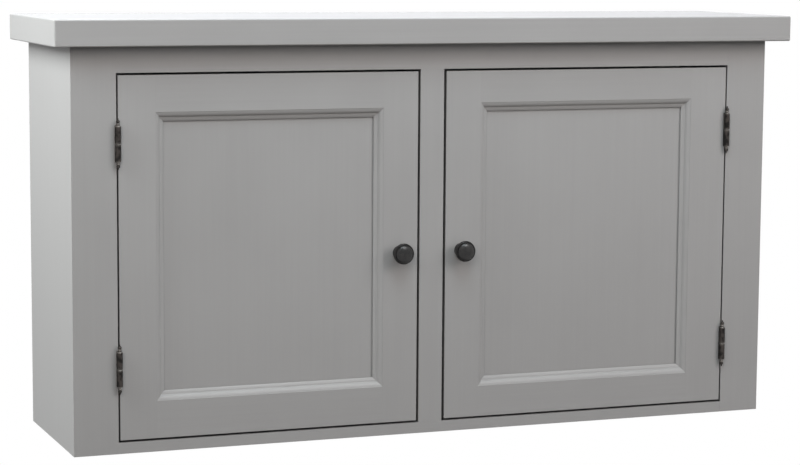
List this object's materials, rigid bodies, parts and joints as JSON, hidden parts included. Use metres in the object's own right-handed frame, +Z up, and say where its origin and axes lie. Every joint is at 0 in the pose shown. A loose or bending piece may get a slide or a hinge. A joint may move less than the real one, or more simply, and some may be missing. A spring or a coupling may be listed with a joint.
{
  "type": "kitchen wall cabinet",
  "caption": "Wall-hung kitchen cabinet: thick overhanging top slab, face frame, two inset panelled doors on finial butt hinges, turned knobs and a shelf inside.",
  "frame": {"origin": "centre of the rear face of the upper hanging rail, on the wall plane", "axes": "+X to the viewer's right along the cabinet, +Y into the wall, +Z up; the doors face -Y"},
  "size_m": [1.0512, 0.2774, 0.5649],
  "materials": {
    "grey_paint": "grey eggshell paint on wood",
    "bare_pine": "bare planed pine",
    "dark_iron": "dark waxed iron",
    "dark_bronze": "near-black burnished metal",
    "bright_steel": "plain zinc-plated steel",
    "brown_plastic": "matte dark brown"
  },
  "bodies": {
    "cabinet": {"left_side_panel": "grey_paint", "right_side_panel": "grey_paint", "bottom_board": "grey_paint", "top_board": "grey_paint", "back_panel": "grey_paint", "upper_hanging_rail": "bare_pine", "lower_hanging_rail": "bare_pine", "top_slab": "grey_paint", "shelf": "grey_paint", "shelf_peg_left_front": "bright_steel", "shelf_peg_left_rear": "bright_steel", "shelf_peg_right_front": "bright_steel", "shelf_peg_right_rear": "bright_steel", "left_frame_stile": "grey_paint", "right_frame_stile": "grey_paint", "frame_top_rail": "grey_paint", "frame_bottom_rail": "grey_paint", "frame_mullion": "grey_paint", "left_lower_hinge_frame_leaf": "dark_iron", "left_lower_hinge_pin": "bright_steel", "left_upper_hinge_frame_leaf": "dark_iron", "left_upper_hinge_pin": "bright_steel", "right_lower_hinge_frame_leaf": "dark_iron", "right_lower_hinge_pin": "bright_steel", "right_upper_hinge_frame_leaf": "dark_iron", "right_upper_hinge_pin": "bright_steel", "left_catch": "brown_plastic", "right_catch": "brown_plastic"},
    "left_door": {"left_door_hinge_stile": "grey_paint", "left_door_lock_stile": "grey_paint", "left_door_top_rail": "grey_paint", "left_door_bottom_rail": "grey_paint", "left_door_panel": "grey_paint", "left_door_top_moulding": "grey_paint", "left_door_bottom_moulding": "grey_paint", "left_door_hinge_side_moulding": "grey_paint", "left_door_lock_side_moulding": "grey_paint", "left_knob": "dark_bronze", "left_knob_bolt": "bright_steel", "left_lower_hinge_door_leaf": "dark_iron", "left_upper_hinge_door_leaf": "dark_iron", "left_strike_plate": "bright_steel"},
    "right_door": {"right_door_hinge_stile": "grey_paint", "right_door_lock_stile": "grey_paint", "right_door_top_rail": "grey_paint", "right_door_bottom_rail": "grey_paint", "right_door_panel": "grey_paint", "right_door_top_moulding": "grey_paint", "right_door_bottom_moulding": "grey_paint", "right_door_hinge_side_moulding": "grey_paint", "right_door_lock_side_moulding": "grey_paint", "right_knob": "dark_bronze", "right_knob_bolt": "bright_steel", "right_lower_hinge_door_leaf": "dark_iron", "right_upper_hinge_door_leaf": "dark_iron", "right_strike_plate": "bright_steel"}
  },
  "joints": [
    {"name": "left_door_swing", "type": "hinge", "parent": "cabinet", "child": "left_door", "pos_m": [-0.4395, -0.2553, -0.459], "axis": [0, 0, -1], "range_deg": [0, 180]},
    {"name": "right_door_swing", "type": "hinge", "parent": "cabinet", "child": "right_door", "pos_m": [0.4395, -0.2553, -0.459], "axis": [0, 0, 1], "range_deg": [0, 180]}
  ]
}
